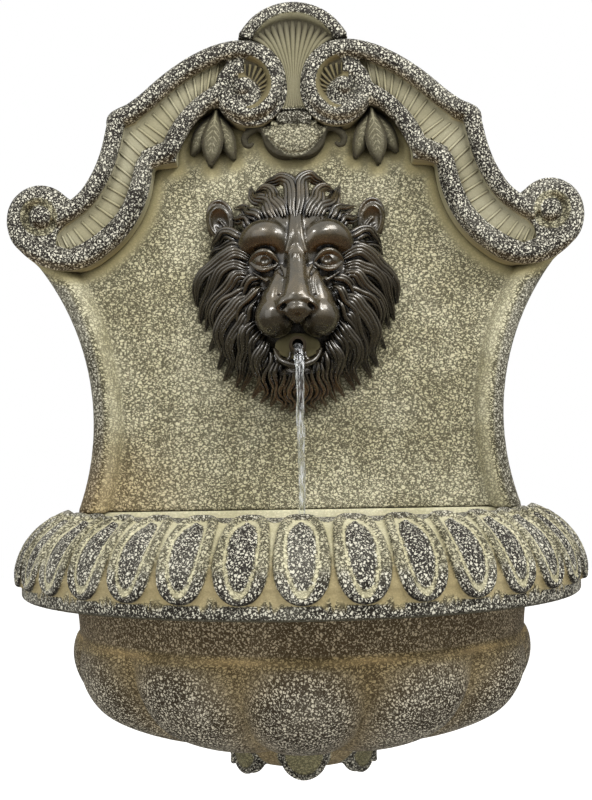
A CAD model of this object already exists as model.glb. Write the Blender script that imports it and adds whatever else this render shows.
# %% [markdown]
# # A garden wall fountain
# The real one is cast in resin and stone powder, in thin hollow pieces: a back panel with scrolls,
# a shell crest, a lion mask, and a half-round basin. The solids that hold it together are loaded
# first, as a fixed frame. Everything after that is looks: softer castings, carving and finishes.

# %% Load the frame
import bpy
import math
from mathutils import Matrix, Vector, noise
from mathutils.bvhtree import BVHTree


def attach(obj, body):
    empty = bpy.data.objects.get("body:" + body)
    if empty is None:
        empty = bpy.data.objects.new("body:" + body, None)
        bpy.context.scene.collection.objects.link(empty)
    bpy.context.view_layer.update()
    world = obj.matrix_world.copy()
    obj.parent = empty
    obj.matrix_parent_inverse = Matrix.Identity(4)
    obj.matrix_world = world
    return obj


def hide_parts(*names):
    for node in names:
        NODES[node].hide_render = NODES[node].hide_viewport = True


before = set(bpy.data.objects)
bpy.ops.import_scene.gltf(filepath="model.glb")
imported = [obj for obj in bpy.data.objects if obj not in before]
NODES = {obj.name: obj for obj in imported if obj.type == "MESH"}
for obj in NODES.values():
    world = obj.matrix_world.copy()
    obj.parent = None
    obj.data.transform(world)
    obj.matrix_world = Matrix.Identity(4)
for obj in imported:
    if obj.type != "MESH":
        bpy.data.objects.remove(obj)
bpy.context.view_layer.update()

MM = 0.001

# %% [markdown]
# ## Where the camera stands
# The fountain was photographed straight on, about a metre away, with the lens level with the
# basin's rim. The camera looks level, and a small shift of the lens frames the tall panel, so its
# upright lines stay upright. The camera is rolled by a little under a degree, as the photo is.

# %% Camera
EYE = Vector((-0.003, -1.041, 0.0345))
ROLL = math.radians(0.9)
LENS = 52.56
SHIFT_UP = 0.0875
bpy.ops.object.select_all(action="DESELECT")
bpy.ops.object.camera_add(location=EYE, rotation=(math.radians(90), ROLL, 0))
camera = bpy.context.object
camera.name = "photo_camera"
camera.data.sensor_width = 36
camera.data.lens = LENS
camera.data.shift_y = SHIFT_UP
camera.data.clip_start = 0.05
bpy.context.scene.camera = camera
bpy.context.scene.view_settings.view_transform = "Standard"
print("camera at", tuple(camera.location))

# %% [markdown]
# ## Light and ground
# Soft studio light comes from above and from the right. Two small lamps put glints on the waxed
# mask. The floor is far below, because the fountain hangs on a wall, and it keeps the shadow.

# %% Light
def area_light(name, place, aim, size, power):
    """A large soft lamp that looks from its place at a point."""
    bpy.ops.object.light_add(type="AREA", location=place)
    lamp = bpy.context.object
    lamp.name = name
    lamp.data.size = size
    lamp.data.energy = power
    lamp.rotation_euler = (Vector(aim) - Vector(place)).to_track_quat("-Z", "Y").to_euler()
    return lamp


area_light("key_light", (1.1, -1.2, 1.5), (0, 0, 0.1), 0.9, 26)
area_light("fill_light", (-1.4, -1.5, 0.5), (0, 0, 0.1), 1.4, 7)
area_light("rim_light", (0.2, 0.9, 1.3), (0, 0, 0.2), 1.0, 8)
area_light("glint_left", (-0.6, -1.1, 1.0), (0, 0, 0.2), 0.22, 4.5)
area_light("glint_right", (0.45, -1.2, 0.9), (0, 0, 0.2), 0.22, 4.5)

# %% [markdown]
# ## A tidy way to make finishes
# Every finish is a small node tree. Two helpers keep them short: one adds a node with its settings
# and links, and one turns the hex colours that painters use into the linear values that a shader
# wants.

# %% Helpers for finishes
def linear(hex_colour):
    """An sRGB hex colour as linear red, green, blue and alpha."""
    values = [int(hex_colour[i:i + 2], 16) / 255 for i in (1, 3, 5)]
    return [v / 12.92 if v <= 0.04045 else ((v + 0.055) / 1.055) ** 2.4 for v in values] + [1.0]


def add(tree, kind, inputs=None, **settings):
    """Add a node. Inputs are values, or outputs of other nodes to link."""
    made = tree.nodes.new(kind)
    for name, value in settings.items():
        setattr(made, name, value)
    for socket, value in (inputs or {}).items():
        if isinstance(value, bpy.types.NodeSocket):
            tree.links.new(value, made.inputs[socket])
        else:
            made.inputs[socket].default_value = value
    return made


def new_finish(name, **shader_values):
    """A material with a Principled shader, whose constant values sit on the shader itself."""
    finish = bpy.data.materials.new(name)
    finish.use_nodes = True
    tree = finish.node_tree
    shader = tree.nodes["Principled BSDF"]
    for socket, value in shader_values.items():
        shader.inputs[socket.replace("_", " ")].default_value = value
    return finish, tree, shader


def maths(tree, operation, *values, kind="ShaderNodeMath", clamp=False):
    """A sum, product or the like of numbers."""
    made = add(tree, kind, dict(enumerate(values)), operation=operation)
    if clamp:
        made.use_clamp = True
    return made.outputs[0]


def on_vectors(tree, operation, *values):
    """The same for vectors."""
    return maths(tree, operation, *values, kind="ShaderNodeVectorMath")


def in_millimetres(tree):
    """Object coordinates in millimetres, so that a pattern's scale is one over its real size."""
    place = add(tree, "ShaderNodeTexCoord").outputs["Object"]
    return on_vectors(tree, "MULTIPLY", place, (1000, 1000, 1000))


def grainy(tree, where, size_mm, detail=2.0):
    """A cloudy pattern whose blobs are about as wide as the given size."""
    return add(tree, "ShaderNodeTexNoise", {
        "Vector": where, "Scale": 1 / size_mm, "Detail": detail, "Roughness": 0.5}).outputs["Fac"]


def bumped(tree, height, strength, depth_mm, **more):
    """A bump from a pattern, as deep as given."""
    return add(tree, "ShaderNodeBump", {"Height": height, "Strength": strength,
                                        "Distance": depth_mm * MM, **more}).outputs["Normal"]


def ramped(tree, value, low, high, to_low=0.0, to_high=1.0):
    """A soft step of a value from one level to another."""
    return add(tree, "ShaderNodeMapRange",
               {"Value": value, "From Min": low, "From Max": high, "To Min": to_low,
                "To Max": to_high}, interpolation_type="SMOOTHSTEP").outputs["Result"]


def blended(tree, share, first, second):
    """Colours mixed by a share; a hex string is a plain colour."""
    mix = add(tree, "ShaderNodeMix", data_type="RGBA")
    for socket, value in ((0, share), (6, first), (7, second)):
        if isinstance(value, bpy.types.NodeSocket):
            tree.links.new(value, mix.inputs[socket])
        else:
            mix.inputs[socket].default_value = linear(value) if isinstance(value, str) else value
    return mix.outputs[2]


print("white is", linear("#FFFFFF"))

# %% [markdown]
# ## The world and the floor
# Light Path tells a material which ray is asking. Camera rays see white; the rays that light the
# stone see a calmer grey. Reflections see a studio that is bright above and dark below, so that
# waxed bronze gets its contrast. The floor adds just enough white of its own to read as a studio
# floor, and still takes a shadow.

# %% World and floor
AMBIENT = 0.62
world = bpy.data.worlds.new("studio")
bpy.context.scene.world = world
world.use_nodes = True
sky = world.node_tree
sky.nodes["Background"].inputs["Color"].default_value = linear("#FFFFFF")
ray = add(sky, "ShaderNodeLightPath")
way = add(sky, "ShaderNodeSeparateXYZ", {0: add(sky, "ShaderNodeTexCoord").outputs["Generated"]})
in_reflections = ramped(sky, way.outputs["Z"], -0.5, 0.8, 0.10, 1.25)
strength = add(sky, "ShaderNodeMix", {0: ray.outputs["Is Glossy Ray"], 2: AMBIENT,
                                      3: in_reflections}, data_type="FLOAT").outputs[0]
strength = add(sky, "ShaderNodeMix", {0: maths(sky, "MAXIMUM", ray.outputs["Is Camera Ray"],
                                               ray.outputs["Is Transmission Ray"]),
                                      2: strength, 3: 1.0}, data_type="FLOAT").outputs[0]
sky.links.new(strength, sky.nodes["Background"].inputs["Strength"])

bpy.ops.mesh.primitive_circle_add(vertices=96, radius=9, fill_type="NGON",
                                  location=(0, -1, -0.75))
floor = bpy.context.object
floor.name = "floor"
bpy.ops.object.transform_apply()
floor_finish, tree, shader = new_finish("studio floor, matt white paint", Roughness=0.9)
path = add(tree, "ShaderNodeLightPath")
tree.links.new(blended(tree, path.outputs["Is Glossy Ray"], "#F4F3F0", "#4A4844"),
               shader.inputs["Base Color"])
shader.inputs["Emission Color"].default_value = linear("#FFFFFF")
tree.links.new(ramped(tree, path.outputs["Is Camera Ray"], 0, 1, 0, 0.55),
               shader.inputs["Emission Strength"])
floor.data.materials.append(floor_finish)
print("floor at", floor.data.vertices[0].co.z)

# %% [markdown]
# ## The cast stone
# Garden castings are sprayed cream, then washed with a thin brown-black paint. The wash stays in
# the cracks between the grains of the rough skin and is wiped off the grains. On bold parts the
# grains are pale cells two to three millimetres wide with dark cracks between them. On soft parts
# they are longer, flat grains with a weaker wash. Hollows that the rag can't reach keep a
# smooth olive tone, and ochre shows low down and underneath. Four numbers that are painted on each
# piece's points steer this: how bold the grain is, how olive, how ochre and how grimy.

# %% Cast stone finish
CELL_MM = (2.5, 2.5, 3.0)
FLAT_GRAIN_MM = (4.2, 2.9, 2.3)
PATCH_MM = 46
WOBBLE_MM = 2.2
PUSH_MM = 4.5
CREVICE_MM = 9


def cracks(tree, where, size_mm, low, high):
    """0 in the cracks between grains of this size, and 1 on the grains."""
    scaled = add(tree, "ShaderNodeMapping", {"Vector": where,
                                             "Scale": [1 / size for size in size_mm]}).outputs[0]
    edges = add(tree, "ShaderNodeTexVoronoi", {"Vector": scaled, "Scale": 1.0},
                feature="DISTANCE_TO_EDGE").outputs["Distance"]
    return ramped(tree, edges, low, high)


def cast_stone(name):
    finish, tree, shader = new_finish(name, Roughness=0.74, Specular_IOR_Level=0.35)
    where = in_millimetres(tree)
    steering = add(tree, "ShaderNodeAttribute", attribute_name="finish")
    bold, olive, ochre = add(tree, "ShaderNodeSeparateColor",
                             {0: steering.outputs["Color"]}).outputs[:3]
    grime = maths(tree, "SUBTRACT", 1.0, steering.outputs["Alpha"])
    patches = grainy(tree, where, PATCH_MM, detail=3)
    wobble = add(tree, "ShaderNodeTexNoise", {"Vector": where, "Scale": 1 / WOBBLE_MM,
                                              "Detail": 1.0}).outputs["Color"]
    push = on_vectors(tree, "MULTIPLY", on_vectors(tree, "SUBTRACT", wobble, (0.5, 0.5, 0.5)),
                      (PUSH_MM, PUSH_MM, PUSH_MM))
    bent = on_vectors(tree, "ADD", where, push)
    cells = cracks(tree, bent, CELL_MM, 0.09, 0.27)
    flat_grains = cracks(tree, bent, FLAT_GRAIN_MM, 0.04, 0.26)
    uneven = maths(tree, "MULTIPLY", maths(tree, "SUBTRACT", patches, 0.5), 0.5)
    cell_share = ramped(tree, bold, 0.48, 0.78)
    grain = add(tree, "ShaderNodeMix", {0: cell_share, 2: flat_grains, 3: cells},
                data_type="FLOAT").outputs[0]
    grain = maths(tree, "ADD", grain, uneven, clamp=True)
    crevice = add(tree, "ShaderNodeAmbientOcclusion", {"Distance": CREVICE_MM * MM},
                  samples=6).outputs["AO"]
    open_air = ramped(tree, crevice, 0.30, 0.80)
    cream = blended(tree, ramped(tree, patches, 0.36, 0.64), "#BDB693", "#CFC9A9")
    cream = blended(tree, cell_share, cream, "#D3CFBD")
    cream = blended(tree, olive, cream, "#8D875C")
    cream = blended(tree, ochre, cream, "#B2935A")
    cream = blended(tree, grime, cream, "#2B2418")
    wash = blended(tree, bold, "#565138", "#1A140D")
    wash = blended(tree, ochre, wash, "#54401F")
    wash_share = maths(tree, "MULTIPLY", maths(tree, "SUBTRACT", 1.0, grain),
                       ramped(tree, bold, 0, 0.5, 0.06, 1.0))
    colour = blended(tree, wash_share, cream, wash)
    shaded = blended(tree, open_air, "#575030", "#FFFFFF")
    colour = add(tree, "ShaderNodeMix", {0: 1.0, 6: colour, 7: shaded}, data_type="RGBA",
                 blend_type="MULTIPLY").outputs[2]
    tree.links.new(colour, shader.inputs["Base Color"])
    lift = maths(tree, "MULTIPLY", grain, ramped(tree, bold, 0, 1, 0.1, 1.0))
    dents = bumped(tree, grainy(tree, where, 13), 0.25, 2.5, Normal=bumped(tree, lift, 0.8, 0.8))
    tree.links.new(dents, shader.inputs["Normal"])
    return finish


stone = cast_stone("cast resin stone, cream with a brown wash")
print("finish:", stone.name)

# %% [markdown]
# ## From a sharp solid to a soft casting
# The solids have the right places and sizes, but crisp edges. A casting has none. Each stone piece
# starts as a copy of its solid: the copy's loose triangles are merged, ornament is joined to it,
# and a voxel remesh melts it all into one skin, which a smoothing modifier then softens.

# %% Helpers for pieces
def only(*chosen):
    """Select these objects alone, the first one active."""
    if bpy.context.mode != "OBJECT":
        bpy.ops.object.mode_set(mode="OBJECT")
    bpy.ops.object.select_all(action="DESELECT")
    for item in chosen:
        item.select_set(True)
    bpy.context.view_layer.objects.active = chosen[0]
    return chosen[0]


def edited(item, operator, **settings):
    """Run one mesh operator on the whole of a piece."""
    only(item)
    bpy.ops.object.mode_set(mode="EDIT")
    bpy.ops.mesh.select_all(action="SELECT")
    operator(**settings)
    bpy.ops.object.mode_set(mode="OBJECT")
    return item


def cleaned(item, gap_mm):
    """Merge points that coincide, and turn the faces outward."""
    edited(item, bpy.ops.mesh.remove_doubles, threshold=gap_mm * MM)
    return edited(item, bpy.ops.mesh.normals_make_consistent, inside=False)


def modify(item, kind, **settings):
    """Add a modifier and apply it."""
    only(item)
    modifier = item.modifiers.new(kind.title(), kind)
    for name, value in settings.items():
        setattr(modifier, name, value)
    bpy.ops.object.modifier_apply(modifier=modifier.name)
    return item


def copy_of(node, name):
    """A merged copy of a solid's mesh, free of the frame."""
    piece = bpy.data.objects.new(name, NODES[node].data.copy())
    bpy.context.scene.collection.objects.link(piece)
    piece.data.materials.clear()
    return edited(piece, bpy.ops.mesh.remove_doubles, threshold=0.02 * MM)


def joined(name, *items):
    only(*items)
    bpy.ops.object.join()
    bpy.context.object.name = name
    return bpy.context.object


def melted(item, voxel_mm, rounds, factor=0.5):
    """Fuse closed shapes that overlap into one skin, and smooth it."""
    modify(item, "REMESH", mode="VOXEL", voxel_size=voxel_mm * MM, use_smooth_shade=True)
    if rounds:
        modify(item, "SMOOTH", factor=factor, iterations=rounds)
    return item


def flat_backed(item, depth):
    """Cut off what lies nearer to the wall than a depth, and close the cut."""
    return edited(item, bpy.ops.mesh.bisect, plane_co=(0, -depth * MM, 0), plane_no=(0, 1, 0),
                  use_fill=True, clear_outer=True)


def finished(item, body, slot, finish, *nodes):
    """Give a piece its finish, its body, its slot if the solids have one, and its solids."""
    only(item)
    bpy.ops.object.transform_apply()
    bpy.ops.object.shade_smooth_by_angle(angle=math.radians(50))
    item.data.materials.clear()
    item.data.materials.append(finish)
    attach(item, body)
    if nodes:
        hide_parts(*nodes)
    print(item.name, len(item.data.polygons), "faces")
    return item


def painted(item, rule):
    """Store how bold, olive, ochre and grimy each point is, from its place and normal."""
    layer = item.data.attributes.new("finish", "FLOAT_COLOR", "POINT")
    values = []
    for vertex in item.data.vertices:
        bold, olive, ochre, grime = [min(1, max(0, share))
                                     for share in rule(vertex.co / MM, vertex.normal)]
        values += [bold, olive, ochre, 1 - grime]
    layer.data.foreach_set("color", values)
    return item


castings = {}


def cast(item, rule, node):
    """Paint a casting by a rule, and finish it in stone in place of its solid."""
    castings[node] = finished(painted(item, rule), "root", "cast_stone", stone, node)


def step(value, low, high):
    """0 below low, 1 above high, and soft between."""
    share = min(1, max(0, (value - low) / (high - low)))
    return share * share * (3 - 2 * share)


print("helpers ready")

# %% [markdown]
# ## Beads and balls
# Most ornament on a casting is made of two things: rounded beads that follow a line, and rounded
# masses. A bead is a curve with a round section, whose radius may change from point to point. Many
# beads share one curve object, which becomes a mesh once. Masses are spheres, squashed to size.
# Places are given in millimetres as across, up, and depth in front of the wall.

# %% Beads and masses
def at(across, up, depth):
    return Vector((across, -depth, up)) * MM


def beads(name, routes, sides=4, steps=5, cyclic=False):
    """Round beads along routes of (point, radius in mm), as one mesh."""
    bpy.ops.object.select_all(action="DESELECT")
    bpy.ops.curve.primitive_nurbs_path_add()
    item = bpy.context.object
    item.name = name
    curve = item.data
    curve.splines.clear()
    curve.bevel_depth = MM
    curve.bevel_resolution = sides
    curve.resolution_u = steps
    curve.use_fill_caps = True
    for route in routes:
        spline = curve.splines.new("NURBS")
        spline.points.add(len(route) - 1)
        for point, (place, radius) in zip(spline.points, route):
            point.co = (*place, 1)
            point.radius = radius
        spline.use_cyclic_u = cyclic
        spline.order_u = 3
        spline.use_endpoint_u = not cyclic
    bpy.ops.object.convert(target="MESH")
    return cleaned(bpy.context.object, 0.01)


def mass(place, across, up, deep, lean=0, turn=0):
    """A squashed ball, its half sizes in mm, leaned in the wall's plane, turned about upright."""
    bpy.ops.object.select_all(action="DESELECT")
    bpy.ops.mesh.primitive_uv_sphere_add(
        segments=32, ring_count=18, radius=MM, location=place, scale=(across, deep, up),
        rotation=(0, math.radians(lean), math.radians(turn)))
    bpy.ops.object.transform_apply()
    return bpy.context.object


def both(points):
    """A route on the right and its mirror image on the left, from (across, up, depth, radius)."""
    return [[(at(side * x, z, d), r) for x, z, d, r in points] for side in (1, -1)]


print("bead and mass ready")

# %% [markdown]
# ## The back panel
# A flat field between two rolled sides. The copy of the solid keeps its thin wall and hollow back.
# The grain is soft on the field, bold on the outer half of each roll and pale on its inner slope.
# Under the scrolls the field stays smooth and olive, because the rag can't reach in there, so the
# rule asks how far each point is from the ornament.

# %% Zones of the back panel
SIDE_CENTRE = (402, 80)
SIDE_RADIUS = 223
FIELD_DEPTH = 23


def nearest_on(*items):
    """A search tree over some pieces."""
    points, faces = [], []
    for item in items:
        base = len(points)
        points += [vertex.co.copy() for vertex in item.data.vertices]
        faces += [[base + i for i in polygon.vertices] for polygon in item.data.polygons]
    return BVHTree.FromPolygons(points, faces)


def underside(normal):
    return step(-normal.z, 0.3, 0.95)


def panel_rule(tree):
    def rule(place, normal):
        from_side = math.hypot(SIDE_CENTRE[0] - abs(place.x), SIDE_CENTRE[1] - place.z)
        inward = from_side - SIDE_RADIUS
        on_roll = 1 - step(inward, 24, 30) if place.z < 230 else 0
        outer = 1 - step(inward, 8, 18)
        near = tree.find_nearest(place * MM)[3] / MM
        shelter = 1 - step(near, 3, 15)
        low_left = step(-place.x, 60, 200) * (1 - step(place.z, 10, 90))
        bold = on_roll * (0.3 + 0.4 * outer) + (1 - on_roll) * 0.42
        bold = bold * (1 - 0.75 * shelter)
        front = step(-place.y, 10, 16)
        return (bold * front + 0.1 * (1 - front), 0.75 * shelter,
                0.6 * low_left + 0.15 * shelter, 0.1 * on_roll * outer)
    return rule


print("panel field at", FIELD_DEPTH, "mm")

# %% [markdown]
# ## The scroll frames
# Each frame is a channel between two mottled rails that end in volutes. The channel carries thin
# ribs like the flutes of a shell. They are placed by hand at ten stations along the channel, from
# the upper volute down to the shoulder, and the loop fills in the ones between.

# %% Channel ribs
CHANNEL_DEPTH = 38
STATIONS = [
    ((56, 390), (60, 371)), ((74, 383), (77, 359)), ((93.8, 369), (87, 350)),
    ((111, 354), (98, 335)), ((128, 334), (110, 321)), ((144, 325), (130, 311)),
    ((154, 299), (139, 287)), ((162.5, 275.5), (147, 267)), ((176.7, 256), (162.4, 244)),
    ((194, 242), (186, 230)), ((205, 236), (202, 227)),
]
RIBS_BETWEEN = 2.5
RIB_RADIUS = 1.25


def along_stations(share):
    index = min(int(share), len(STATIONS) - 2)
    part = share - index
    return [tuple(a + (b - a) * part for a, b in zip(*ends))
            for ends in zip(STATIONS[index], STATIONS[index + 1])]


def channel_ribs(side):
    routes = []
    count = round((len(STATIONS) - 1) * RIBS_BETWEEN)
    for number in range(count + 1):
        outer, inner = along_stations(number * (len(STATIONS) - 1) / count)
        routes.append([(at(side * outer[0], outer[1], CHANNEL_DEPTH), RIB_RADIUS * 0.85),
                       (at(side * (outer[0] + inner[0]) / 2, (outer[1] + inner[1]) / 2,
                           CHANNEL_DEPTH + 0.2), RIB_RADIUS),
                       (at(side * inner[0], inner[1], CHANNEL_DEPTH + 0.4), RIB_RADIUS)])
    return routes


print(len(channel_ribs(1)), "ribs on each side")

# %% [markdown]
# In the hollow of the upper volute a small fan of flutes spreads from the eye to the rail, and a
# short mottled bump closes the channel above the eye. The eye itself is a low mottled dome.
# Towards the channel it runs into the curl.

# %% Volutes
VOLUTE = (42.5, 364)
EYE_OF_VOLUTE = (40.5, 356)
HOLLOW_TO = EYE_OF_VOLUTE[0] + 6
SHOULDER = (218, 253)


def volute_fan(side):
    routes = []
    for degrees in range(-15, 96, 12):
        turn = math.radians(180 - degrees)
        routes.append([(at(side * (EYE_OF_VOLUTE[0] + away * math.cos(turn)),
                           EYE_OF_VOLUTE[1] + away * math.sin(turn), depth), radius)
                       for away, depth, radius in ((12, 44.2, 0.8), (18, 44.7, 1.2),
                                                   (25, 45.2, 1.5))])
    return routes


def scroll_frame(word, side):
    frame_copy = copy_of(f"scroll_frame_{word}", f"scroll_frame_{word}_casting")
    eye_x, eye_z = EYE_OF_VOLUTE
    eyes = [mass(at(side * eye_x, eye_z, 40), 12, 12, 9),
            mass(at(side * SHOULDER[0], SHOULDER[1], 41), 9, 9, 8),
            mass(at(side * 46, 385, 40), 3.2, 9, 6.5)]
    casting = melted(joined(f"scroll_frame_{word}_casting", frame_copy, *eyes), 1.2, 2)
    trim = beads(f"flutes_{word}", channel_ribs(side) + volute_fan(side), sides=2, steps=3)
    return joined(f"scroll_frame_{word}_casting", casting, trim)


def frame_rule(place, normal):
    rail = step(-place.y, 40.0, 42.5)
    from_eye = math.hypot(abs(place.x) - EYE_OF_VOLUTE[0], place.z - EYE_OF_VOLUTE[1])
    from_volute = math.hypot(abs(place.x) - VOLUTE[0], place.z - VOLUTE[1])
    gap = 17.5 + 6 * (1 - step(abs(place.x), 36, 46))
    in_volute = from_volute < gap and not (42 < abs(place.x) < 50 and place.z > 372)
    if in_volute:
        rail = 1 - step(from_eye, 11.5, 13.5) if abs(place.x) < HOLLOW_TO else 0.9
    elif from_eye > 60:
        from_curl = math.hypot(abs(place.x) - SHOULDER[0], place.z - SHOULDER[1])
        if 9.5 < from_curl < 16:
            rail *= 0.45
    edge = 1 - step(-place.y, 26, 36)
    recess = in_volute and abs(place.x) < HOLLOW_TO
    floor = 1 - (step(-place.y, 44.2, 45.4) if in_volute else step(-place.y, 38.6, 40.2))
    return (rail * (1 - 0.75 * edge) + 0.08, 0.85 * recess * (1 - rail) + 0.45 * edge,
            0.5 * underside(normal) + 0.2 * recess * (1 - rail),
            (0.1 + 0.3 * floor + 0.48 * recess) * (1 - rail) * (1 - edge))


for word, side in (("left", -1), ("right", 1)):
    cast(scroll_frame(word, side), frame_rule, f"scroll_frame_{word}")

# %% [markdown]
# ## The crest
# A sheaf of ribs is pinched at a waist, spreads up to the arch like a fan and flares a little at
# its foot, where a mottled pad closes it. Each rib is one bead through six places.

# %% Crest shell
FAN_RIBS = 6


def crest_ribs():
    routes = []
    for number in range(-FAN_RIBS, FAN_RIBS + 1):
        share = number / FAN_RIBS
        top_z = 420 - 15 * share * share
        routes.append([(at(share * across, up, depth), radius) for across, up, depth, radius in (
            (36, top_z, 37.5, 3.2), (27, 404, 40.2, 2.7), (13.5, 384, 41.8, 1.5),
            (7, 365, 42.4, 0.9), (8, 354, 42.0, 1.0), (15, 343.5, 40.5, 1.7))])
    return routes


crest = joined("crest_shell_casting", copy_of("crest_shell", "crest_shell_casting"),
               beads("crest_pad", [[(at(x, 338 - 0.006 * x * x, 36), 6.5) for x in (-15, 0, 15)]]),
               beads("crest_arch", [[(at(47 * math.sin(turn), 385 + 45 * math.cos(turn), 41), 5.6)
                                     for turn in [math.radians(a) for a in range(-64, 65, 16)]]]))
melted(crest, 1.2, 2)
crest = joined("crest_shell_casting", crest, beads("crest_ribs", crest_ribs(), sides=4, steps=4))


def crest_rule(place, normal):
    from_arch = math.hypot(place.x, place.z - 385)
    on_arch = step(from_arch, 38, 40.5) if place.z > 400 else 0
    pad = (1 - step(place.z, 344, 347)) * (1 - step(abs(place.x), 17, 21))
    bold = max(0.95 * on_arch, 0.7 * pad)
    return (bold + 0.08, 0.3 * (1 - bold), 0,
            (0.52 + 0.35 * (1 - step(-place.y, 40.5, 43.5))) * (1 - bold))


cast(crest, crest_rule, "crest_shell")

# %% [markdown]
# The small shell under the crest is a scalloped cup with a thick dark lip, and a hook curls out of
# each of its top corners.

# %% Small shell
LIP = [(0, 305.5), (10, 306.5), (18.5, 311), (24, 318), (26.5, 326)]
lip_line = [(at(-x, z, 34), 2.6) for x, z in LIP[:0:-1]] + [(at(x, z, 34), 2.6) for x, z in LIP]
hooks = both([(25, 327, 33, 3.2), (30, 331, 34, 3.4), (37, 328, 34, 3.6), (43, 323, 33, 3.4),
              (43, 316, 32, 2.8), (38, 314, 32, 2.2), (35.5, 317.5, 32, 1.6)])
grooves = []
for degrees in range(-60, 61, 20):
    lean = math.radians(degrees)
    grooves.append([(at(away * 1.1 * math.sin(lean), 333 - away * math.cos(lean), depth), radius)
                    for away, depth, radius in ((5, 38, 1.6), (14, 39.5, 2.8), (23, 37.5, 3.6))])
boss = joined("crest_boss_casting", copy_of("crest_boss", "crest_boss_casting"),
              beads("boss_lip", [lip_line]), beads("boss_hooks", hooks),
              beads("boss_grooves", grooves),
              beads("boss_top", [[(at(x, 333, 35), 4) for x in (-20, -7, 7, 20)]]))
melted(boss, 0.9, 2)
cast(boss, lambda p, n: (0.58, 0.05, 0.2 * underside(n), 0.95 * (1 - step(
    p.z - 303 - 0.03 * p.x * p.x, 0.5, 3.5))), "crest_boss")

# %% [markdown]
# ## Leaves
# A spray of three leaves hangs from each upper volute. A leaf starts as a grid. Its points are
# moved to a pointed outline and arched along and across. A solidify modifier gives it a back,
# which is pressed down on the field. Thin beads make the midrib and the side veins. The wash
# leaves a dark edge round each leaf.

# %% Leaves
LEAF_ROOT = (66.5, 345)
# tip, half width and depth of each leaf
LEAVES = [((72.5, 298), 7.9, 34), ((52.5, 304), 5.6, 30), ((88.7, 308.5), 6.0, 29)]
LEAF_STEPS = (14, 40)
VEIN_PAIRS = 6


def leaf(name, side, tip, half, depth):
    root = Vector(LEAF_ROOT)
    along = Vector(tip) - root
    across = Vector((-along.y, along.x)).normalized()

    def width(t):
        t = min(1, max(0, t))
        return half * (math.sin(math.pi * t ** 1.35) + 0.14 * (1 - t)) + 0.2

    def spot(u, t, lift=0.0):
        rise = 5.5 * math.sin(math.pi * t) + 3.2 * (1 - abs(u) ** 1.5)
        place = root + along * t + across * (u * width(t))
        return at(side * place.x, place.y, depth + rise + lift)

    def blade_rule(place, normal):
        flat = Vector((side * place.x, place.z)) - root
        t = flat.dot(along) / along.length_squared
        edge = step(abs(flat.dot(across)) / width(t), 0.6, 0.95)
        return 0.3, 0.1, 0, 0.74 + 0.24 * max(edge, step(t, 0.8, 1.0))

    bpy.ops.object.select_all(action="DESELECT")
    bpy.ops.mesh.primitive_grid_add(x_subdivisions=LEAF_STEPS[0], y_subdivisions=LEAF_STEPS[1],
                                    size=2)
    blade = bpy.context.object
    for vertex in blade.data.vertices:
        vertex.co = spot(vertex.co.x, (vertex.co.y + 1) / 2)
    count = len(blade.data.vertices)
    modify(blade, "SOLIDIFY", thickness=3.5 * MM, offset=0)
    layers = blade.data.vertices[:count], blade.data.vertices[count:]
    for vertex in max(layers, key=lambda layer: layer[count // 2].co.y):
        flat = Vector((side * vertex.co.x, vertex.co.z)) / MM - root
        foot = root + flat - across * 0.25 * flat.dot(across)
        vertex.co = at(side * foot.x, foot.y, FIELD_DEPTH - 0.5)
    routes = [[(spot(0, t, 1.2), 1.5 - t) for t in (0.03, 0.3, 0.6, 0.85, 0.97)]]
    for number in range(VEIN_PAIRS):
        start = 0.2 + 0.11 * number
        for way in (-1, 1):
            routes.append([(spot(way * u, start + rest, 1.5), radius) for u, rest, radius in (
                (0.05, 0, 0.75), (0.4, 0.06, 0.7), (0.8, 0.15, 0.45))])
    veins = beads(name + "_veins", routes, sides=2, steps=3)
    whole = joined(name, painted(blade, blade_rule),
                   painted(veins, lambda p, n: (0.1, 0.1, 0, 0.5)))
    return edited(whole, bpy.ops.mesh.normals_make_consistent, inside=False)


for word, side in (("left", -1), ("right", 1)):
    blades = [leaf(f"leaf_{word}_{number}", side, *sizes)
              for number, sizes in enumerate(LEAVES, 1)]
    spray = joined(f"leaf_spray_{word}_casting", *blades)
    castings[f"leaf_spray_{word}"] = finished(spray, "root", "cast_stone", stone,
                                              f"leaf_spray_{word}")

# %% [markdown]
# ## The basin's rim
# Seventeen tongues hang over the quarter-round of the rim. Each has a rounded border that loops
# round its tip, and a long oval inside it. Both are drawn once on the curved face by three
# numbers: the angle of the tongue, the way across it, and the way down from the top edge. A
# decimate modifier then drops the triangles that the flat parts don't need.

# %% Tongues of the rim
ROUND_CENTRE = (186.6, -58.0)
ROUND_RADIUS = 58.4
ROUND_TOP = math.radians(82)
ROUND_FOOT = math.radians(10.9)
ROUND_LENGTH = ROUND_RADIUS * (ROUND_TOP - ROUND_FOOT)
TONGUE_PITCH = 10.2
TONGUES_A_SIDE = 8


def on_rim(degrees, across, down, lift):
    """A point on the rim's rounded face, from a tongue's angle and millimetres on its skin."""
    turn = ROUND_TOP - min(down, ROUND_LENGTH) / ROUND_RADIUS
    away = ROUND_CENTRE[0] + (ROUND_RADIUS + lift) * math.cos(turn)
    height = ROUND_CENTRE[1] + (ROUND_RADIUS + lift) * math.sin(turn)
    height -= max(0, down - ROUND_LENGTH)
    swing = math.radians(degrees) + across / away
    return Vector((away * math.sin(swing), -away * math.cos(swing), height)) * MM


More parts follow.
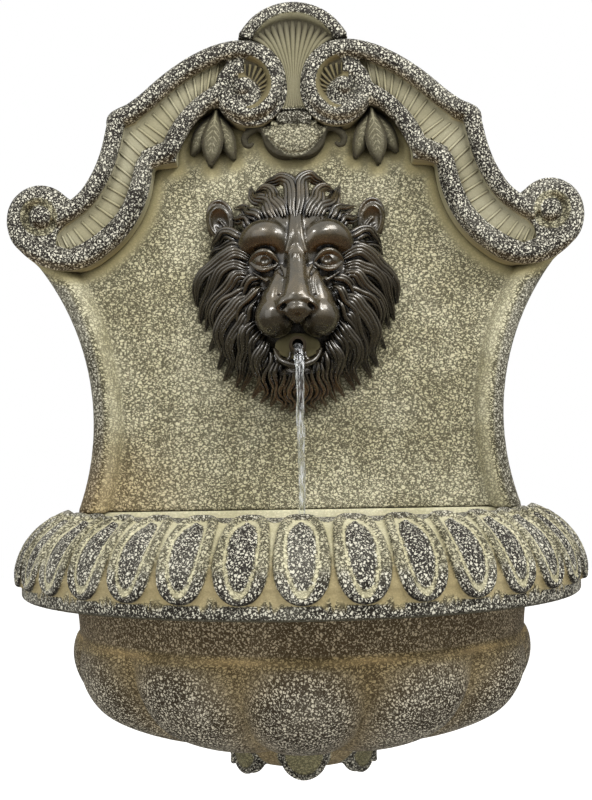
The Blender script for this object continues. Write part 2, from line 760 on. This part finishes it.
def tongue_border(degrees):
    half = [(0, 8), (8.5, 9), (12.4, 20), (15, 36), (16.6, 52), (16.4, 63), (13.6, 73),
            (7.8, 79.5), (0, 81.5)]
    outline = half + [(-across, down) for across, down in half[-2:0:-1]]
    return [(on_rim(degrees, across, down, 1.6), 3.5) for across, down in outline]


def tongue_oval(degrees):
    route = []
    for down, radius in ((19, 1.5), (27, 6), (38, 9), (50, 11), (60, 10), (67, 6.5), (71, 2)):
        route.append((on_rim(degrees, 0, down, 5.4 - radius), radius))
    return route


angles = [TONGUE_PITCH * number for number in range(-TONGUES_A_SIDE, TONGUES_A_SIDE + 1)]
borders = beads("tongue_borders", [tongue_border(a) for a in angles], cyclic=True, steps=4)
ovals = beads("tongue_ovals", [tongue_oval(a) for a in angles], sides=6, steps=4)
rim = melted(joined("basin_rim_casting", copy_of("basin_rim", "basin_rim_casting"), borders,
                    ovals), 1.4, 1)
modify(rim, "DECIMATE", ratio=0.47)
print("rounded face is", round(ROUND_LENGTH, 1), "mm down")

# %% Zones of the rim
OVAL_CENTRE = 45.5
OVAL_HALF = (10.4, 28.5)
APRON_RADIUS = 244
APRON_TOP, LIP_TOP = -46.5, -59


def rim_rule(place, normal):
    away = math.hypot(place.x, place.y)
    degrees = math.degrees(math.atan2(place.x, -place.y))
    number = min(TONGUES_A_SIDE, max(-TONGUES_A_SIDE, round(degrees / TONGUE_PITCH)))
    across = abs(math.radians(degrees - number * TONGUE_PITCH)) * away
    turn = math.atan2(place.z - ROUND_CENTRE[1], away - ROUND_CENTRE[0])
    lift = math.hypot(place.z - ROUND_CENTRE[1], away - ROUND_CENTRE[0]) - ROUND_RADIUS
    down = (ROUND_TOP - turn) * ROUND_RADIUS
    if place.z < APRON_TOP:
        lift, down = away - APRON_RADIUS, ROUND_LENGTH + APRON_TOP - place.z
    ring = math.hypot(across / OVAL_HALF[0], (down - OVAL_CENTRE) / OVAL_HALF[1])
    in_oval = (1 - step(ring, 0.94, 1.02)) * step(lift, -3, -1)
    in_groove = step(ring, 0.98, 1.04) * (1 - step(ring, 1.16, 1.26))
    raised = step(lift, 0.9, 2.6)
    foot = step(down, 56, 76)
    bold = 0.12 + 0.88 * max(in_oval, raised * (0.5 + 0.5 * foot) * (1 - 0.85 * in_groove))
    hollow = (1 - raised) * step(down, 44, 62) * (1 - in_oval)
    under_foot = raised * step(down, 70, 75) * step(-normal.z, 0.25, 0.7)
    if place.z < LIP_TOP:
        bold, hollow, under_foot = 0.95, 0, 0
    if down < 12:
        bold = max(bold, 0.72)
    inside = step(192 - away, 0, 4) + step(-normal.z, 0.5, 0.9) * (place.z < -66)
    bold *= 1 - 0.8 * min(1, inside)
    return bold, 0.5 * hollow, 0.35 * hollow, max(0.95 * (1 - step(place.z, -69.5, -66.5)),
                                                  0.9 * under_foot, 0.12 * hollow)


cast(rim, rim_rule, "basin_rim")

# %% [markdown]
# ## The bowl
# Seven swelling lobes under a plain neck. The valleys between them are pressed in a little more
# than the solid shows, as they are on the real casting. The grain is bold on the belly of each
# lobe. It fades to smooth ochre in the valleys and along the line under the neck.

# %% Bowl
LOBE_PITCH = 30
VALLEY_MM = 9
bowl = melted(copy_of("basin_bowl", "basin_bowl_casting"), 2.2, 4)


def from_lobe(place):
    """0 on the crest of a lobe and 1 in a valley."""
    degrees = math.degrees(math.atan2(place.x, -place.y))
    return abs((degrees + LOBE_PITCH / 2) % LOBE_PITCH - LOBE_PITCH / 2) / (LOBE_PITCH / 2)


normals = [vertex.normal.copy() for vertex in bowl.data.vertices]
for vertex, normal in zip(bowl.data.vertices, normals):
    outward = Vector((vertex.co.x, vertex.co.y, 0)).normalized()
    low = step(-vertex.co.z / MM, 106, 170) * (1 - step(-vertex.co.z / MM, 198, 204))
    if vertex.co.y < -0.012 and (normal.dot(outward) > 0.1 or normal.z < -0.3):
        vertex.co -= outward * VALLEY_MM * MM * low * from_lobe(vertex.co) ** 3


def bowl_rule(place, normal):
    from_crest = from_lobe(place)
    neck = step(place.z, -104, -100)
    under_neck = math.exp(-((place.z + 106) / 4) ** 2)
    belly = 1 - step(math.hypot(0.9 * from_crest, (place.z + 156) / 60), 0.4, 1.15)
    bold = 0.5 + 0.45 * belly
    bold = bold * (1 - neck) + 0.76 * neck
    bold *= 1 - 0.45 * under_neck
    ochre = 0.2 + 0.4 * (1 - belly) + 0.15 * under_neck
    ochre = ochre * (1 - neck) + 0.55 * neck
    return (bold, 0.3 * (1 - belly) * (1 - neck), ochre,
            0.12 + 0.08 * neck + 0.06 * step(from_crest, 0.75, 1.0) * (1 - neck)
            + 0.2 * step(-place.z, 170, 200))


cast(bowl, bowl_rule, "basin_bowl")

# %% [markdown]
# ## The pendant
# Five petals curl down from under the bowl round an ochre cone. Each petal is smooth and olive,
# with streaks, and has a thick mottled rim round its foot. What would reach behind the wall side
# is pressed back to it.

# %% Pendant
PETAL_ANGLES = (-90, -54, 0, 54, 90)
PETAL_CENTRE = (56, -203)


def petal_line(degrees, wide, tall, out, spread, radius):
    """A line on a petal: round its foot, or down it."""
    swing = math.radians(degrees)
    side_way = Vector((math.cos(swing), math.sin(swing), 0))
    forward = Vector((math.sin(swing), -math.cos(swing), 0))
    centre = forward * PETAL_CENTRE[0] + Vector((0, 0, PETAL_CENTRE[1]))
    route = []
    for a in spread:
        turn = math.radians(a)
        bulge = out * math.cos(turn) ** 2 + 2
        spot = centre + side_way * wide * math.sin(turn) + forward * (bulge + 3)
        spot.z -= tall * math.cos(turn)
        route.append((spot * MM, radius))
    return route


rims = beads("petal_rims", [petal_line(a, 18.5, 20.5, 1.5, range(-84, 85, 21), 2.7)
                            for a in PETAL_ANGLES])
pendant = melted(joined("bowl_pendant_casting", copy_of("bowl_pendant", "bowl_pendant_casting"),
                        rims), 1.1, 2)
for vertex in pendant.data.vertices:
    vertex.co.y = min(vertex.co.y, 0)


def pendant_rule(place, normal):
    degrees = math.degrees(math.atan2(place.x, -place.y))
    petal = min(PETAL_ANGLES, key=lambda a: abs(a - degrees))
    swing = math.radians(petal)
    across = place.x * math.cos(swing) + place.y * math.sin(swing)
    down = PETAL_CENTRE[1] - place.z
    ring = math.hypot(across / 18.5, down / 20.5)
    rim_share = step(ring, 0.82, 0.9) * (1 - step(ring, 1.15, 1.22))
    cone = step(ring, 1.2, 1.25)
    return (0.36 + 0.6 * rim_share, 0.8 * (1 - rim_share) * (1 - cone), 0.6 * cone,
            0.25 + 0.2 * cone)


cast(pendant, pendant_rule, "bowl_pendant")

# %% [markdown]
# ## The panel, now that the ornament around it is known

# %% Back panel
ornament = nearest_on(*[item for name, item in castings.items()
                        if name.startswith(("scroll", "crest", "leaf"))])
panel = melted(copy_of("back_panel", "back_panel_casting"), 2.0, 3)
cast(panel, panel_rule(ornament), "back_panel")

# %% [markdown]
# ## The lion's face
# The mask is modelled the way a carver roughs out a head: a dome for the mane, a skull, two
# swellings over the eyes, cheekbones, a nose that widens to its tip, two full lobes of muzzle and
# a chin. They are melted together, and a plane cuts off what would reach behind the field. The
# ears are hollowed, and the mouth is bored through to the back for the spout.

# %% Lion: rough head
def mirrored_mass(across, up, depth, *sizes, lean=0):
    return [mass(at(side * across, up, depth), *sizes, lean=side * lean) for side in (1, -1)]


def carved_away(item, tool):
    """Cut one closed shape out of another."""
    modify(item, "BOOLEAN", operation="DIFFERENCE", solver="EXACT", object=tool)
    bpy.data.objects.remove(tool)
    return item


head = [mass(at(0, 186, 12), 78, 84, 28), mass(at(0, 212, 36), 46, 44, 31),
        mass(at(0, 240, 46), 37, 15, 19), mass(at(0, 226, 58), 7, 24, 14),
        mass(at(0, 117, 51), 14, 7.5, 13), mass(at(0, 110, 38), 22, 14, 15)]
head.append(beads("brows", both([(8, 219, 62, 6), (13, 227, 62, 11), (22, 232.5, 60, 13.5),
                                 (32, 232.5, 56, 13.5), (41, 227, 50, 10.5),
                                 (46, 218, 44, 6)]), sides=8))
head += mirrored_mass(43, 196, 40, 10, 20, 14, lean=8)
head += mirrored_mass(33, 180, 45, 12, 18, 15, lean=20)
head += mirrored_mass(18.3, 162.5, 68, 17.2, 18, 19.5, lean=-8)
head += mirrored_mass(19, 176, 66, 11.5, 14, 15, lean=-12)
head.append(beads("nose_bridge", [[(at(0, 224, 62), 8), (at(0, 208, 69), 8.2),
                                   (at(0, 193, 76), 9.5), (at(0, 179, 82), 12.5),
                                   (at(0, 172, 84), 13.5)]], sides=8))
head.append(beads("muzzle_folds", both([(12.5, 203, 64, 5), (14.5, 192, 69, 7),
                                        (17.5, 181, 73, 8.5), (19, 170, 74, 9)]), sides=8))
ears = [mass(at(side * 64.5, 250, 32), 12, 17, 9, lean=side * 10) for side in (1, -1)]
face = flat_backed(melted(joined("lion_mask_face", *head, *ears), 1.4, 7), FIELD_DEPTH - 2.5)
nose = [mass(at(0, 173.5, 85), 16.5, 6, 11), mass(at(0, 166, 88), 9.5, 7, 9.5)]
nose += mirrored_mass(11.5, 170.5, 84, 7, 5, 10, lean=28)
nose.append(beads("nose_point", [[(at(0, 168, 89), 7), (at(0, 161, 89), 5),
                                  (at(0, 154.5, 86), 2.4)]], sides=6))
nose.append(beads("nose_edges", both([(16.5, 173, 83, 3.2), (10.5, 166.5, 89, 3.4),
                                      (4.5, 160, 90.5, 3.2), (0.6, 156, 88, 2.4)]), sides=6))
face = melted(joined("lion_mask_face", face, *nose), 1.1, 3)
for side in (1, -1):
    carved_away(face, mass(at(side * 65.5, 247.5, 43), 9.6, 14, 10, lean=side * 10))
    carved_away(face, mass(at(side * 12.2, 167, 95), 5.2, 2.0, 8, lean=side * 42))
    carved_away(face, mass(at(side * 26.6, 209, 80), 13.5, 8.6, 15, lean=side * 6))
carved_away(face, mass(at(0, 140.5, 60), 16.5, 8, 52))
print(face.name, len(face.data.polygons), "faces")

# %% [markdown]
# Fine features are beads and small balls laid on the face: eyeballs with a bored pupil, two lids
# each, creases in the forehead, folds under the eyes that run down to the nose, the rims of the
# ears, and lips.

# %% Lion: features
eyeballs = mirrored_mass(26.8, 209.6, 60, 10.2, 8.2, 10.8)
lines = []
for line in (
        [(14.6, 207, 68, 1.3), (19.2, 214, 70.5, 2.2), (27, 217.6, 71.2, 2.5),
         (35, 215, 67, 2.2), (39.5, 209.6, 60, 1.4)],
        [(14.6, 207, 68, 1.3), (20, 202.6, 69.6, 1.8), (27, 200.8, 69.6, 2.0),
         (34, 203.2, 66, 1.8), (39.5, 209.6, 60, 1.2)],
        [(13.4, 205, 71, 1.4), (10, 200.5, 74.5, 1.9), (8.6, 193, 78, 1.9), (8, 184, 82, 1.4)],
        [(18.5, 199, 69, 1.3), (13.6, 195.8, 74.4, 2.0), (12.4, 188, 77.5, 2.1),
         (14.4, 178.5, 82, 1.6)],
        [(25, 196.4, 64.5, 1.2), (19.4, 192.4, 71.4, 1.9), (18.4, 185, 75, 2.0),
         (21, 174.5, 80, 1.3)],
        [(37, 201.5, 58, 1.2), (30, 196.4, 63, 1.7), (24, 192, 67, 1.3)],
        [(3.0, 250, 61, 1.6), (3.2, 238, 67, 2.8), (4.2, 226, 70, 3.2), (8.0, 215, 71, 1.8)],
        [(1.4, 214, 75.5, 1.4), (2.4, 206, 77, 1.5), (2.2, 197, 80.5, 1.2)],
        [(54.5, 243, 37, 1.4), (53.6, 253.5, 37.5, 1.7), (58.6, 264, 37.5, 1.8),
         (66.6, 268, 36, 1.8), (74.4, 263.5, 34, 1.6), (77.4, 251, 32, 1.4),
         (73.4, 237, 31, 1.2)],
        [(58, 240, 38, 1.0), (61.5, 246, 36, 1.3), (66, 251, 34, 0.9)],
        [(63, 238, 38, 1.0), (66.5, 243, 35, 1.3), (70, 246, 33, 0.8)],
        [(19.5, 136.5, 64, 1.6), (17, 128.6, 69, 2.2), (10, 122.6, 72.5, 2.6),
         (0, 121, 73.5, 2.6)],
        [(16.6, 134.4, 65, 1.4), (16.8, 128.6, 68, 1.6), (11, 125.2, 71, 1.6),
         (5.6, 127.6, 72, 1.5), (6.4, 132.6, 71.5, 1.2)]):
    lines += both(line)
lion_lines = beads("lion_lines", lines, sides=4, steps=4)
face = melted(joined("lion_mask_face", face, *eyeballs, lion_lines), 0.85, 4)
for side in (1, -1):
    carved_away(face, mass(at(side * 26.2, 209, 71.5), 4.4, 4, 3.6))
modify(face, "DECIMATE", ratio=0.75)
print(face.name, len(face.data.polygons), "faces")

# %% [markdown]
# ## The mane
# Each lock is a bundle of strands that starts at the face and follows one line out to a shared
# tip. The line is made finer, and swings from side to side like a wave. The bundle is widest in
# its middle, so the strands part and close again. A fatter bead under it gives the lock its body.
# All locks are drawn for one side and mirrored. A noise pattern nudges them, always the same way,
# because its seed is set.

# %% Lion: locks of the mane
# across, up, depth of the points, then the half width in mm and the number of strands
LOCKS = [
    ([(1.8, 246, 64), (3.2, 262, 55), (6.5, 278, 47), (13, 286, 42), (22, 283, 37),
      (27, 279.5, 34)], 4.8, 4),
    ([(10, 247, 62), (14, 260, 53), (19, 270.5, 46), (27, 275, 40), (34.5, 273, 36)], 4.6, 4),
    ([(17, 246, 60), (23, 257, 52), (30, 265, 45), (36, 270.5, 39), (38.5, 279.5, 35)], 4.8, 4),
    ([(29, 244, 55), (36, 252.5, 48), (43, 258.5, 42), (53, 260, 36)], 3.8, 3),
    ([(36, 239, 52), (43, 247, 46), (50, 251, 41), (56, 251, 36)], 3.2, 3),
    ([(42, 230, 50), (52, 235, 46), (62, 236, 41), (71, 231, 36), (73, 225, 33)], 3.6, 3),
    ([(43, 222, 50), (52, 226, 47), (61, 228, 42), (70, 224, 37), (75, 217, 33)], 3.4, 3),
    ([(40, 214, 52), (53, 219, 48), (67, 215, 42), (79, 203, 36), (85.5, 190, 31),
      (87, 177, 28)], 5.6, 5),
    ([(40, 206, 52), (52, 210, 49), (64, 203, 44), (74, 192, 39), (81, 178, 33),
      (84.5, 163, 28)], 5.6, 5),
    ([(40, 198, 53), (51, 199, 50), (60, 191, 46), (68, 180, 41), (75, 169, 35),
      (80, 155, 29)], 4.8, 4),
    ([(38, 189, 54), (50, 187, 51), (61, 179, 47), (69, 166, 41), (69.5, 152, 35),
      (77, 138, 27)], 4.8, 4),
    ([(37, 180, 54), (50, 177, 51), (60, 166, 47), (64, 151, 42), (62.5, 137, 36),
      (69.5, 122.5, 27)], 6.0, 5),
    ([(36, 170, 54), (46, 165, 52), (53, 154, 48), (56, 141, 43), (55, 128, 37),
      (64.5, 113, 27)], 5.6, 5),
    ([(34, 160, 54), (42, 152, 52), (47, 141, 48), (48, 129, 42), (47, 119, 37),
      (54, 107, 28)], 4.8, 4),
    ([(31, 152, 54), (37, 142, 51), (40.5, 130, 46), (41, 118, 39), (49.5, 103, 28)], 4.6, 4),
    ([(26.5, 143, 55), (31, 131, 51), (33, 119, 45), (32, 108, 38), (40, 97, 29)], 4.4, 4),
    ([(23, 134, 56), (24, 123, 52), (26.5, 112, 46), (26, 102, 39), (33, 92.5, 29)], 4.2, 3),
    ([(17, 124, 60), (18, 114, 53), (20, 104, 45), (19, 97, 38), (24.5, 89.5, 29)], 3.8, 3),
    ([(11.5, 118, 64), (12, 108, 55), (13.5, 99, 45), (11.5, 92, 38), (15.5, 86.5, 29)], 3.6, 3),
    ([(4, 116, 66), (4.6, 106, 57), (5.4, 97, 47), (4, 90, 39), (7.5, 84, 29)], 3.6, 3),
    ([(29, 197, 60), (37, 194, 58), (46, 186, 53), (53, 174, 49), (56, 164, 46)], 3.4, 3),
    ([(31, 188, 60), (38, 183, 58), (46, 172, 53), (51, 160, 49), (52, 149, 45)], 3.4, 3),
    ([(34, 177, 60), (40, 169, 57), (46, 158, 52), (48, 147, 47), (46, 137, 44)], 3.2, 3),
]
STEPS_EACH = 2
STRAND_RADIUS = 2.35
noise.seed_set(5)
chance = Vector((3.1, 7.7, 0.4))


def nudged(number, strength):
    """A small repeatable push for lock or strand number."""
    return noise.noise_vector(chance + Vector((number * 1.7, 0, 0))) * strength


def waved(points, seed, swing=3.2):
    """A finer copy of a line, which swings from side to side towards its tip."""
    fine = []
    last = (len(points) - 1) * STEPS_EACH
    phase = 6.28 * noise.noise(chance + Vector((seed * 0.77, 2, 0)))
    for number in range(last + 1):
        index = min(number // STEPS_EACH, len(points) - 2)
        part = number / STEPS_EACH - index
        first, second = Vector(points[index]), Vector(points[index + 1])
        spot = first + (second - first) * part
        way = Vector((second.x - first.x, second.y - first.y)).normalized()
        share = number / last
        shift = swing * math.sin(share * 9.5 + phase) * math.sin(math.pi * min(1, share * 1.1))
        fine.append((spot.x + way.y * shift, spot.y - way.x * shift, spot.z))
    return fine


def strand_routes(points, half_width, count, side, lock):
    """Strands side by side on a domed lock, all tapering to its tip."""
    seed = lock * 2 + (side < 0)
    routes = []
    last = len(points) - 1
    for strand in range(count):
        spread = 2 * strand / (count - 1) - 1
        route = []
        for index, (x, z, depth) in enumerate(points):
            before, after = points[max(0, index - 1)], points[min(last, index + 1)]
            way = Vector((after[0] - before[0], after[1] - before[1])).normalized()
            share = index / last
            width = half_width * (0.12 * share ** 2 + math.sin(
                math.pi * min(1, 0.25 + 0.75 * share)) ** 0.9)
            shift = spread * width + nudged(seed * 13 + strand * 3 + index * 0.3, 0.8).x
            lift = (4.2 * (1 - spread * spread) * (1 - 0.7 * share) + 2.6 * (lock % 2)
                    + 0.9 * (strand % 2))
            grow = min(1, 0.2 + share / 0.2)
            radius = (STRAND_RADIUS * grow * (1 - 0.93 * share ** 1.8)
                      * (0.75 + 0.5 * half_width / 5))
            sunk = 3.5 * (1 - min(1, share / 0.16))
            route.append((at(side * (x + way.y * shift), z - way.x * shift,
                             depth + lift - 1.2 - sunk), radius))
        routes.append(route)
    return routes


bodies, strands = [], []
for number, (points, half_width, count) in enumerate(LOCKS):
    for side in (1, -1):
        fine = waved(points, number + 0.2 * side)
        last = len(fine) - 1
        bodies.append([(at(side * x, z, depth - 5),
                        half_width * (1.0 - 0.8 * (index / last) ** 1.4))
                       for index, (x, z, depth) in enumerate(fine)])
        strands += strand_routes(fine, half_width, count, side, number)
lock_bodies = melted(beads("lock_bodies", bodies, sides=5), 1.3, 2)
mane = joined("lion_mask_mane", lock_bodies, beads("mane_strands", strands, sides=2, steps=3))
print(len(strands), "strands")

# %% [markdown]
# Behind the open mouth the casting is left in its olive undercoat, and the spout comes through it.
# The mask is finished as antique bronze: almost black-brown in the grooves, rubbed to a warm brown
# where hands and rags reach, with a waxy gloss. The grooves are found by an ambient occlusion
# node, and the rubbed places by how far each point stands forward. The muzzle keeps more of the
# dark wash, and surfaces that face down keep a reddish one.

# %% Antique bronze
def antique_bronze(name):
    finish, tree, shader = new_finish(name, Metallic=0.35, Specular_IOR_Level=0.6,
                                      Coat_Weight=0.8, Coat_Roughness=0.14)
    where = in_millimetres(tree)
    clouds = grainy(tree, where, 14, detail=4)
    specks = grainy(tree, where, 1.6)
    spot = add(tree, "ShaderNodeSeparateXYZ", {0: where})
    reach = add(tree, "ShaderNodeMapRange", {"Value": spot.outputs["Y"], "From Min": -42,
                                             "From Max": -80}).outputs["Result"]
    reach = maths(tree, "MULTIPLY", reach, ramped(tree, spot.outputs["Z"], 150, 184, 0.0, 1.0))
    reach = maths(tree, "MAXIMUM", reach, ramped(tree, spot.outputs["Z"], 225, 262, 0, 0.8))
    reach = maths(tree, "MAXIMUM", reach, ramped(tree, spot.outputs["Z"], 124, 100, 0, 0.85))
    crevice = add(tree, "ShaderNodeAmbientOcclusion", {"Distance": 7 * MM}, samples=8)
    open_air = ramped(tree, crevice.outputs["AO"], 0.48, 0.92)
    dark = blended(tree, clouds, "#231E14", "#463E2D")
    warm = blended(tree, ramped(tree, clouds, 0.4, 0.66), "#3D3726", "#574B33")
    facing = add(tree, "ShaderNodeSeparateXYZ", {
        0: add(tree, "ShaderNodeNewGeometry").outputs["Normal"]}).outputs["Z"]
    warm = blended(tree, ramped(tree, facing, 0.0, -0.9), warm, "#694218")
    rubbed = maths(tree, "MULTIPLY", reach, ramped(tree, specks, 0.3, 0.6, 0.6, 1.0))
    colour = blended(tree, maths(tree, "MULTIPLY", rubbed, 0.85), dark, warm)
    colour = blended(tree, open_air, "#0A0704", colour)
    tree.links.new(colour, shader.inputs["Base Color"])
    tree.links.new(ramped(tree, specks, 0.2, 0.8, 0.22, 0.36), shader.inputs["Roughness"])
    tree.links.new(bumped(tree, grainy(tree, where, 3.2), 0.22, 0.6), shader.inputs["Normal"])
    return finish


bronze = antique_bronze("cast resin, antique bronze finish, waxed")
throat = mass(at(0, 139, 57), 19, 11, 1.5)
throat.name = "lion_mask_throat"
finished(painted(throat, lambda p, n: (0.05, 1, 0.1, 0.55)), "root", "cast_stone", stone)
finished(face, "root", "antique_bronze", bronze, "lion_mask")
finished(mane, "root", "antique_bronze", bronze)

# %% [markdown]
# ## Water
# A thin stream leaves the spout, bends down and thins as it falls. It wobbles a little and
# breaks into a low ripple where it meets the pool. The pool is a flat half disc with faint rings.

# %% Stream and pool
POOL_Z = -18
POOL_RADIUS = 186
STREAM = [(0.4, 134, 92, 4.2), (0.8, 131.5, 99, 4.4), (1.2, 124, 103, 3.9),
          (1.0, 112, 104.5, 3.4), (1.6, 96, 105.5, 3.6), (1.1, 80, 106.3, 2.9),
          (1.7, 62, 107, 3.2), (1.2, 44, 107.5, 2.6), (1.8, 25, 108, 2.9),
          (1.4, 6, 108.3, 2.4), (1.6, -12, 108.5, 2.6), (1.6, -17.5, 108.5, 5)]
stream = beads("water_stream", [[(at(x, z, d), r) for x, z, d, r in STREAM]], sides=6, steps=6)
for vertex in stream.data.vertices:
    vertex.co += noise.noise_vector(vertex.co / MM * 0.11 + chance) * 0.8 * MM
bpy.ops.object.select_all(action="DESELECT")
bpy.ops.mesh.primitive_grid_add(x_subdivisions=150, y_subdivisions=76, size=2)
pool = bpy.context.object
pool.name = "water_pool"
for vertex in pool.data.vertices:
    turn = math.pi * (vertex.co.x + 1) / 2
    away = POOL_RADIUS * (vertex.co.y + 1) / 2
    x, depth = -away * math.cos(turn), 26.5 + (away * math.sin(turn)) * (POOL_RADIUS - 26.5) / 186
    limit = math.sqrt(max(0, POOL_RADIUS ** 2 - depth ** 2))
    x = max(-limit, min(limit, x))
    from_stream = math.hypot(x - 1.6, depth - 108.5)
    ring = 1.1 * math.exp(-from_stream / 34) * math.cos(from_stream / 2.9)
    vertex.co = at(x, POOL_Z + ring, depth)
cleaned(pool, 0.1)


def clear_water(name):
    finish, tree, shader = new_finish(name, Roughness=0.04, IOR=1.33, Transmission_Weight=1.0)
    where = in_millimetres(tree)
    streaks = add(tree, "ShaderNodeMapping", {"Vector": where, "Scale": (0.9, 0.9, 0.12)})
    foam = add(tree, "ShaderNodeTexNoise", {"Vector": streaks.outputs[0], "Scale": 1.0,
                                            "Detail": 3}).outputs["Fac"]
    tint = blended(tree, ramped(tree, foam, 0.45, 0.7), "#F2F6F5", "#FFFFFF")
    tree.links.new(tint, shader.inputs["Base Color"])
    tree.links.new(ramped(tree, foam, 0.48, 0.68, 1.0, 0.55), shader.inputs["Transmission Weight"])
    tree.links.new(bumped(tree, foam, 0.5, 0.5), shader.inputs["Normal"])
    return finish


water = clear_water("running water")
finished(stream, "root", None, water)
finished(pool, "root", None, water)

# %% [markdown]
# ## Fittings
# The pump, the pipe work and the brackets keep the exact shape of their solids. Each gets the
# finish of what it is made of. One function makes them all: a colour that drifts a little, a fine
# grain in the gloss and a bump whose size suits the making, be it moulded, plated or sawn.

# %% Finishes of the fittings
def fitting_finish(name, colour, drift, roughness, grain_mm, bump_mm, **shader_values):
    finish, tree, shader = new_finish(name, **shader_values)
    where = in_millimetres(tree)
    fine = grainy(tree, where, grain_mm, detail=3)
    broad = grainy(tree, where, 18)
    tree.links.new(blended(tree, broad, colour, drift), shader.inputs["Base Color"])
    tree.links.new(ramped(tree, fine, 0.3, 0.7, *roughness), shader.inputs["Roughness"])
    tree.links.new(bumped(tree, fine, 0.5, bump_mm), shader.inputs["Normal"])
    return finish


FITTINGS = {
    # darkened brass: brown-black, with a dull metal gleam
    "dark_brass": fitting_finish("brass, chemically darkened", "#2E2820", "#453A28", (0.28, 0.42),
                                 1.2, 0.1, Metallic=0.8),
    # rubber: soft black that swallows the light
    "black_rubber": fitting_finish("moulded rubber, black", "#151515", "#1E1D1C", (0.62, 0.78),
                                   0.8, 0.08),
    # vinyl: a clear hose with a faint grey-green cast and a wet shine
    "clear_vinyl": fitting_finish("clear vinyl", "#E4ECE8", "#D6E2DC", (0.08, 0.16), 6, 0.05,
                                  Transmission_Weight=0.75, IOR=1.5),
    # zinc: pale grey with soft spangles
    "galvanised_steel": fitting_finish("steel, zinc plated", "#A9ADB0", "#C4C7C8", (0.28, 0.48),
                                       2.6, 0.05, Metallic=0.95),
    # pump case: fine moulded texture with a satin gleam
    "black_plastic": fitting_finish("moulded plastic, black", "#1A1A1C", "#222224", (0.42, 0.55),
                                    0.6, 0.06),
    # dial: mid grey, so that it can be found by touch and sight
    "grey_plastic": fitting_finish("moulded plastic, grey", "#777A7C", "#85888A", (0.42, 0.52),
                                   0.6, 0.05),
    # impeller: off-white nylon
    "white_plastic": fitting_finish("moulded nylon, white", "#DCDBD4", "#E6E5DF", (0.38, 0.48),
                                    0.7, 0.04),
    # ferrite: sintered, charcoal and slightly rough
    "ferrite": fitting_finish("sintered ferrite", "#2B2B2E", "#38383B", (0.5, 0.66), 0.9, 0.08),
    # ceramic: polished and nearly white
    "pump_ceramic": fitting_finish("polished ceramic", "#EAE7DE", "#F1EFE8", (0.12, 0.2), 3, 0.02),
    # stator: potted steel core, dark grey and uneven
    "laminated_steel": fitting_finish("potted steel core", "#414143", "#535254", (0.4, 0.6), 1.4,
                                      0.08, Metallic=0.5),
}
SLOT_NODES = {
    "dark_brass": ["spout_tube", "spout_elbow", "spout_nut", "drain_bush"],
    "black_rubber": ["spout_washer", "hose_grommet", "cable_grommet", "rim_gasket", "drain_plug",
                     "suction_feet"],
    "clear_vinyl": ["supply_hose"],
    "galvanised_steel": ["hanger_plate", "hanger_screws", "joining_bracket_left",
                         "joining_bracket_right", "bracket_screws", "mask_studs",
                         "mask_washers", "mask_nuts"],
    "black_plastic": ["pump_housing", "pump_cover", "strainer", "cable_gland", "hose_clips"],
    "grey_plastic": ["flow_dial"],
    "white_plastic": ["impeller"],
    "ferrite": ["rotor_magnet"],
    "pump_ceramic": ["pump_shaft", "thrust_washer"],
    "laminated_steel": ["stator"],
}
for slot, nodes in SLOT_NODES.items():
    for node in nodes:
        NODES[node].data.materials.clear()
        NODES[node].data.materials.append(FITTINGS[slot])
print(sum(len(nodes) for nodes in SLOT_NODES.values()), "fittings carried over")
